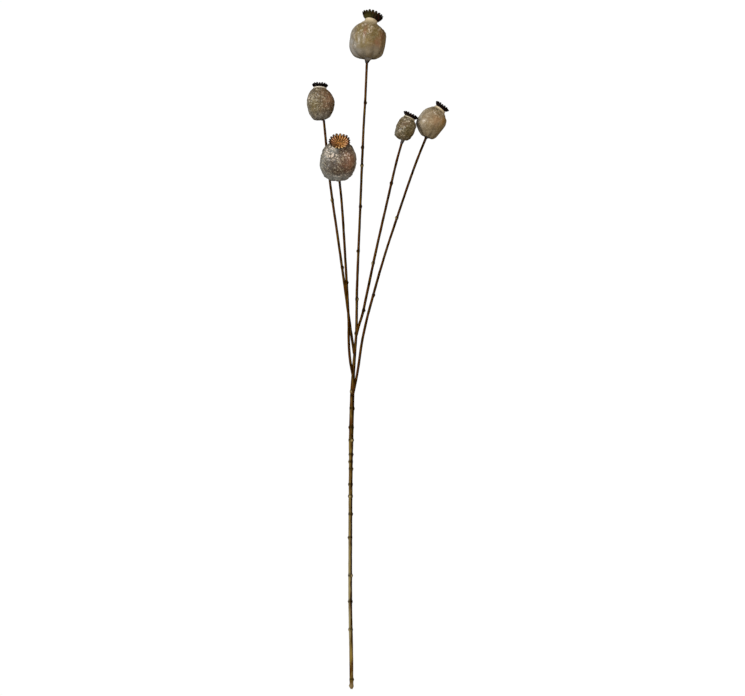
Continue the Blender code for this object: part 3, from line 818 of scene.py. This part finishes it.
# %% Husk material, one for each pod's tones
HUSK_TONES = {
    "top": dict(skin="937a4b", bloom_and_sheen="a6a6a4", dust_and_shade="7a7060", rust="86583a", mustard="6c5810",
                crease_shade_and_blotch="4c3e24", neck="8a8278", collar="d6c3a0"),
    "left": dict(skin="665334", bloom_and_sheen="a4a49c", dust_and_shade="9c978e", rust="ac7a56", mustard="80703a",
                 crease_shade_and_blotch="2c200d", neck="3a2a1c", collar="e6dcc8"),
    "front": dict(skin="5a4834", bloom_and_sheen="a9aaa3", dust_and_shade="a09b92", rust="a87250", mustard="3e2c1a",
                  crease_shade_and_blotch="2a2016", neck="4a4036", collar="8c8a80"),
    "small": dict(skin="7a6644", bloom_and_sheen="9a9788", dust_and_shade="4c3c2e", rust="7c5c40", mustard="625010",
                  crease_shade_and_blotch="2c280c", neck="4c443c", collar="c8bb9c"),
    "right": dict(skin="927c56", bloom_and_sheen="cbc2b2", dust_and_shade="6e6350", rust="a27c56", mustard="946a0c",
                  crease_shade_and_blotch="564426", neck="2c2018", collar="dccaa8"),
}
SHARED_TONES = dict(worn="b5a98c", pimple_highlight="c4b99c", highlight_and_fleck="ecdac6", joint="20120a")
TINT_SHARE = {"top": 0.66, "left": 0.4, "front": 0.52, "small": 0.42, "right": 0.62}
RELIEF_SHADE = {"top": 0.42, "left": 0.55, "front": 0.55, "small": 0.6, "right": 0.42}
PALE_COLLAR = {"top": (0.77, 0.96), "left": (0.985, 1.02), "front": (1.08, 1.1), "small": (0.99, 1.04),
               "right": (0.94, 0.99)}
HUSK_MARKS = ("crease_shade_and_blotch", "pimple_highlight", "height", "bloom_and_sheen", "dust_and_shade", "mustard", "rust", "highlight_and_fleck")
# the size in metres and the detail of each noise
HUSK_NOISE = {"patches": (0.007, 3.0), "blotches": (0.0026, 1.0), "speckle": (0.0010, 2.0)}


def husk_material(name):
    """Parchment skin with painted shade in the creases, grey bloom with painted sheen, rust and mustard
    tints, and pale painted highlights on pimples and patches.
    """
    made, tree = blank_material(f"poppy_husk_waxy_{name}")
    tones = {key: linear(code) for key, code in (HUSK_TONES[name] | SHARED_TONES).items()}
    place = add(tree, "ShaderNodeTexCoord", {}).outputs["Object"]
    sources = {label: add(tree, "ShaderNodeAttribute", {}, attribute_name=label).outputs["Fac"]
               for label in HUSK_MARKS}
    for label, (size, detail) in HUSK_NOISE.items():
        sources[label] = add(tree, "ShaderNodeTexNoise", {"Vector": place, "Scale": 1 / size,
                                                          "Detail": detail}).outputs["Fac"]
    shade, share = RELIEF_SHADE[name], TINT_SHARE[name]
    colour = paint(tree, tones, sources, "skin", [
        ("crease_shade_and_blotch", "patches", 0.44, 0.66, 0.4),
        # painted shade between the wrinkles; the same dark tone also makes random blotches and specks
        ("crease_shade_and_blotch", "crease_shade_and_blotch", 0.0, 1.0, shade),
        ("crease_shade_and_blotch", "blotches", 0.46, 0.34, shade),
        ("worn", "blotches", 0.55, 0.68, shade),
        ("crease_shade_and_blotch", "speckle", 0.46, 0.34, 0.5),
        ("highlight_and_fleck", "speckle", 0.58, 0.72, 0.4),
        # grey is waxy bloom with painted sheen, dust is dust with painted shade, mustard and rust are the
        # husk's own tints
        *[(kind, kind, 0.0, 1.0, share) for kind in ("bloom_and_sheen", "dust_and_shade", "mustard", "rust")],
        # painted highlights on the raised pimples
        ("pimple_highlight", "pimple_highlight", 0.0, 1.0, 0.5),
        # painted highlights in the pale patches; the same pale tone also makes the random pale flecks above
        ("highlight_and_fleck", "highlight_and_fleck", 0.0, 1.0, 0.85),
        ("collar", "height", *PALE_COLLAR[name], 0.85),
        ("neck", "height", -0.03, -0.12, 0.9),
        ("joint", "height", -0.20, -0.34, 0.95),
    ])
    wax = add(tree, "ShaderNodeMapRange", {"Value": sources["patches"], "From Min": 0.35, "From Max": 0.65,
                                           "To Min": 0.24, "To Max": 0.44}).outputs["Result"]
    pores = add(tree, "ShaderNodeBump", {"Height": sources["speckle"], "Strength": 0.35, "Distance": 0.00015})
    shader = add(tree, "ShaderNodeBsdfPrincipled", {"Base Color": colour, "Roughness": wax, "IOR": 1.45,
                                                    "Normal": pores.outputs["Normal"]})
    add(tree, "ShaderNodeOutputMaterial", {"Surface": shader.outputs["BSDF"]})
    return made


for name, piece in pods.items():
    piece.data.materials.append(husk_material(name))
    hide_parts(f"capsule_{name}")
    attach(piece, "root")
print("husk materials", [material.name for material in bpy.data.materials if "husk" in material.name])

# %% [markdown]
# ## Crowns
# The crown is the flower's stigma, dried hard: a shallow pleated cup with one velvety ray for each
# chamber, and each ray runs out into a tooth. It is made as one closed sheet that starts under the
# middle, climbs the outside, turns over the teeth and comes back along the rays to the centre.

# %% Shape the crowns
CROWN_THICKNESS, CROWN_SEAT, CROWN_BEND, CROWN_SHOULDER = 1.15, 0.46, 0.66, 0.84
CROWN_BEND_RISE, CROWN_SHOULDER_RISE, CROWN_BOSS = 0.34, 0.60, 0.14
CROWN_BOSS_RISE, TOOTH_INSET, PLEAT = 1.9, 0.17, 0.42
RAY_HEIGHT = 0.55
TOOTH_BLUNTNESS = 3.4
SIDES_PER_TOOTH, POINTS_PER_TOOTH = 4, 24
STIGMA_GRAIN_SIZE, STIGMA_GRAIN_HEIGHT = 0.9, 0.07
STIGMA_BLUR, STIGMA_FLECKS = 5.0, 2.0


def crown(name):
    """One crown, with marks for its rays and for its inside."""
    head = HEADS[name]
    collar, axis = section(head, 1.0)
    seat = collar + axis * (COLLAR_HEIGHT + GAP)
    radius, tall = head["crown_width"] / 2, head["crown_height"]
    around = head["teeth"] * POINTS_PER_TOOTH
    angle = (np.arange(around) + 0.5) * math.tau / around
    turn = head["teeth"] * (angle - math.tau * 0.5 / (head["teeth"] * SIDES_PER_TOOTH))
    uneven = 1 + 0.10 * np.sin(5 * angle + radius) + 0.07 * np.sin(11 * angle + 2 * radius)
    peak = 1 - 2 * np.abs((turn / math.tau) % 1 - 0.5)
    tooth = np.clip((1 - (1 - peak) ** TOOTH_BLUNTNESS) * uneven, 0.0, 1.06)
    pleat = PLEAT * (2 * peak - 1)
    flat = np.ones(around)
    bend, shoulder = tall * CROWN_BEND_RISE, tall * CROWN_SHOULDER_RISE
    rim_radius = radius * (1 - TOOTH_INSET * (1 - tooth))
    rim_rise = tall * (1 - head["notch"] * (1 - tooth))
    ray = np.clip((peak - 0.4) / 0.45, 0.0, 1.0) ** 0.8
    lifted = pleat + RAY_HEIGHT * ray
    # each ring: 0 outside to 1 inside, its distance from the axis and its height above the seat
    rows = [
        (0.0, flat * radius * CROWN_BOSS, flat * 0.0),
        (0.0, flat * radius * CROWN_SEAT, flat * 0.0),
        (0.0, flat * radius * CROWN_BEND, bend + pleat),
        (0.0, flat * radius * CROWN_SHOULDER, shoulder + pleat),
        (0.2, rim_radius * 0.985, rim_rise - 0.25),
        (0.6, rim_radius, rim_rise + 0.05),
        (0.9, rim_radius * 0.955, rim_rise + 0.15),
        (1.0, flat * radius * CROWN_SHOULDER * 0.95, shoulder + CROWN_THICKNESS * 0.8 + lifted),
        (1.0, flat * radius * CROWN_BEND * 0.93, bend + CROWN_THICKNESS * 0.7 + lifted),
        (1.0, flat * radius * CROWN_SEAT * 0.8, CROWN_THICKNESS * 0.8 + pleat / 2 + RAY_HEIGHT * ray),
        (1.0, flat * radius * CROWN_BOSS * 1.4, CROWN_THICKNESS + RAY_HEIGHT * ray * 0.8),
        (1.0, flat * radius * CROWN_BOSS * 0.5, flat * CROWN_BOSS_RISE),
    ]
    sheet = []
    for inside, reach, rise in rows:
        ring = rows_round(seat[None], axis[None], angle, reach[None])[0] + rise[:, None] * axis
        sheet.append(np.concatenate([ring, np.full((around, 1), inside)], axis=1))
    sheet = smooth_rows(np.array(sheet), 0.4)
    points, inside = sheet[..., :3], sheet[..., 3]
    seed = head["teeth"]
    grain = rough(points, STIGMA_GRAIN_SIZE, 70 + seed)
    grain = grain + 0.6 * rough(points, 0.4, 80 + seed)
    points = points + (STIGMA_GRAIN_HEIGHT * grain)[..., None] * outward(points)
    from_axis = points - seat
    reach = np.linalg.norm(from_axis - (from_axis @ axis)[..., None] * axis, axis=-1) / radius
    # aside runs from -1 on the left to 1 on the right, and upper is 1 on the side away from the table
    aside, upper = np.cos(angle)[None, :], np.clip(np.sin(angle)[None, :], 0.0, 1.0)
    lower = np.clip(-np.sin(angle)[None, :], 0.0, 1.0)
    blur, flecks = rough(points, STIGMA_BLUR, 90 + seed), rough(points, STIGMA_FLECKS, 95 + seed)
    # painted shade in the hollow left of the middle, on the upper side
    hollow_shade = bell(aside, -0.75, 0.35) * bell(reach, 0.42, 0.24) * (upper > 0.0)
    every_other = (0.5 - 0.5 * np.sin(turn / 2))[None, :]
    faded = every_other * ease(-reach, -0.66, -0.36) * ease(reach, 0.1, 0.25)
    marks = {
        "ray": np.broadcast_to(ray, inside.shape) * inside,
        "inside": inside,
        "tip": ease(reach, 0.70, 0.84) * (1 - 0.9 * upper ** 3) * (1 - 0.45 * lower ** 5),
        # the ends on the upper side, which are painted palest as light
        "ends": ease(reach, 0.60, 0.82) * upper ** 2,
        "blush": ease(np.abs(aside) * reach + 0.15 * blur, 0.30, 0.62),
        "umber_and_hollow_shade": np.maximum(np.maximum(ease(flecks + 0.3 * blur, 0.05, 0.5), hollow_shade), faded),
        # olive on the left side of each crown, painted light on the side the key lamp falls on, broken up by
        # noise
        "olive_lit_side": ease(-aside + 0.4 * blur + 0.3 * flecks, -1.0, 1.1),
        "stain_and_shade": ease(flecks, 0.05, 0.5) * ease(aside, -0.6, 0.2),
    }
    return closed_piece(f"stigma_{name}", points, marks)


crowns = {name: crown(name) for name in HEADS}
for name, piece in crowns.items():
    print(piece.name, "faces", len(piece.data.polygons))

# %% [markdown]
# ## Velvety stigma
# Seen from the side the crowns are almost black, with a little olive on the left, which is painted
# light on the side the key lamp falls on, and dark red stains on the right. Inside, the rays are
# copper brown with pale crests between dark grooves, and rosy to the sides; the pale crests are
# painted highlights, and a dark patch in the hollow left of the middle is painted shade. Every other
# ray fades towards the middle, and the ends on the upper side are painted palest, as light. The
# surface is finely hairy, so it is rough and hardly shines.

# %% Stigma material, one for each crown's tones
STIGMA_TONES = {
    "top": dict(outside="160c04", olive_lit_side="463e18", stain_and_shade="40180a", groove="1c1008", ray="6a4420",
                crest_highlight="8a6c40", blush="4c2c20"),
    "left": dict(outside="080302", olive_lit_side="140a06", stain_and_shade="1a0e0a", groove="140a06", ray="5a3620",
                 crest_highlight="6c4a2c", blush="3c241c"),
    "front": dict(outside="1a0c08", olive_lit_side="2a1a10", stain_and_shade="3a1a10", groove="3a1806", ray="d68420",
                  crest_highlight="ffdca0", blush="b8705a"),
    "small": dict(outside="0c0402", olive_lit_side="1a0e08", stain_and_shade="2a120c", groove="140a06", ray="4c2c1a",
                  crest_highlight="5c3c24", blush="3c2018"),
    "right": dict(outside="0c0402", olive_lit_side="1a0e0a", stain_and_shade="38140e", groove="160a08", ray="4c2c1a",
                  crest_highlight="5c3c24", blush="3c2018"),
}
STIGMA_MARKS = ("ray", "inside", "tip", "ends", "blush", "umber_and_hollow_shade", "olive_lit_side", "stain_and_shade")
NAP_SIZE = 0.0003


def stigma_material(name):
    """Matte dark plant velvet with lighter rays inside."""
    made, tree = blank_material(f"poppy_stigma_velvety_{name}")
    tones = {key: linear(code) for key, code in STIGMA_TONES[name].items()}
    sources = {label: add(tree, "ShaderNodeAttribute", {}, attribute_name=label).outputs["Fac"]
               for label in STIGMA_MARKS}
    tones["rays"] = paint(tree, tones, sources, "ray", [
        ("blush", "blush", 0.0, 1.0, 0.7),
        # painted highlights: pale crests on the ray tops and on the ends of the upper side
        ("crest_highlight", "ray", 0.75, 1.0, 0.7),
        ("crest_highlight", "ends", 0.0, 1.0, 0.75),
        # dark umber flecks, the faded rays and the painted shade of the hollow
        ("groove", "umber_and_hollow_shade", 0.0, 1.0, 0.72),
        ("groove", "ray", 0.5, 0.05, 0.95),
    ])
    colour = paint(tree, tones, sources, "outside", [
        # painted light: olive on the left, lit side
        ("olive_lit_side", "olive_lit_side", 0.0, 1.0, 0.9),
        ("stain_and_shade", "stain_and_shade", 0.2, 0.8, 0.9),
        ("rays", "inside", 0.5, 1.0, 1.0),
        ("outside", "tip", 0.0, 1.0, 0.95),
    ])
    place = add(tree, "ShaderNodeTexCoord", {}).outputs["Object"]
    velvet = add(tree, "ShaderNodeTexNoise", {"Vector": place, "Scale": 1 / NAP_SIZE, "Detail": 2.0})
    nap = add(tree, "ShaderNodeBump", {"Height": velvet.outputs["Fac"], "Strength": 0.5,
                                       "Distance": 0.0001})
    shader = add(tree, "ShaderNodeBsdfPrincipled", {"Base Color": colour, "Roughness": 0.7, "IOR": 1.35,
                                                    "Specular IOR Level": 0.15,
                                                    "Normal": nap.outputs["Normal"]})
    add(tree, "ShaderNodeOutputMaterial", {"Surface": shader.outputs["BSDF"]})
    return made


for name, piece in crowns.items():
    piece.data.materials.append(stigma_material(name))
    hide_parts(f"crown_{name}")
    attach(piece, "root")
print("stigma materials", [material.name for material in bpy.data.materials if "stigma" in material.name])

# %% [markdown]
# ## Sizes
# The finer skins have to fill the same box as the model. Both sizes are printed at the end, so that
# they can be compared after each render.

# %% Print the sizes
visual_box = [list(corner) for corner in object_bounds()]
for label, box in (("model", cad_box), ("visual", visual_box)):
    print(label, "size in mm", [round((high - low) / MM, 1) for low, high in zip(*box)])
